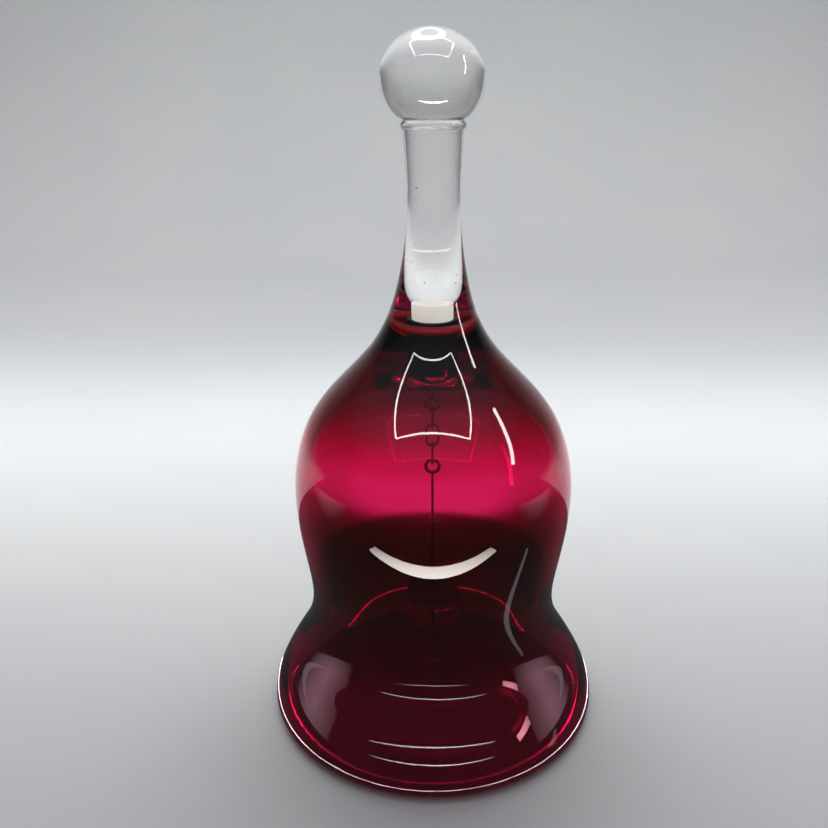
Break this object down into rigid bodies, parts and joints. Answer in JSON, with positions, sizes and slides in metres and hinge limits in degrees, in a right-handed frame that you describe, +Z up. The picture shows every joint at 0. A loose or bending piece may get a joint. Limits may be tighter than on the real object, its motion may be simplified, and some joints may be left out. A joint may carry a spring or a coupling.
{
  "type": "glass bell",
  "caption": "Hand-blown glass table bell with a ruby bulb and dome skirt, a clear flared handle with a ball end, and a glass clapper hung on a short metal chain.",
  "frame": {"origin": "centre of the rim's flat foot ring, in the plane the bell stands on", "axes": "+Z up the handle to the ball; +X to the right and -Y towards the viewer (the bell is round, so X and Y only fix the chain's hinge directions)"},
  "size_m": [0.0766, 0.0766, 0.15],
  "materials": {
    "ruby_glass": "polished",
    "clear_glass": "polished",
    "clapper_glass": "polished",
    "cement": "matte",
    "dark_ferrule": "satin",
    "steel_wire": "satin",
    "brass_trim": "satin"
  },
  "bodies": {
    "bell": {"bell_body": "ruby_glass", "handle_stem": "clear_glass", "ball_finial": "clear_glass", "crown_cement": "cement", "crown_ferrule": "dark_ferrule", "hanger_eye": "steel_wire"},
    "link_1": {"chain_link_1": "steel_wire"},
    "link_2": {"chain_link_2": "steel_wire"},
    "link_3": {"chain_link_3": "steel_wire"},
    "clapper": {"clapper_pin": "steel_wire", "clapper_cap": "brass_trim", "clapper_ball": "clapper_glass", "clapper_bead": "brass_trim"}
  },
  "joints": [
    {"name": "swing_1", "type": "hinge", "parent": "bell", "child": "link_1", "pos_m": [0, 0, 0.0742], "axis": [1, 0, 0], "range_deg": [-8.3, 8.3]},
    {"name": "swing_2", "type": "hinge", "parent": "link_1", "child": "link_2", "pos_m": [0, 0, 0.07], "axis": [0, 1, 0], "range_deg": [-8.3, 8.3]},
    {"name": "swing_3", "type": "hinge", "parent": "link_2", "child": "link_3", "pos_m": [0, 0, 0.0658], "axis": [1, 0, 0], "range_deg": [-8.3, 8.3]},
    {"name": "swing_4", "type": "hinge", "parent": "link_3", "child": "clapper", "pos_m": [0, 0, 0.0616], "axis": [0, 1, 0], "range_deg": [-8.3, 8.3]}
  ]
}
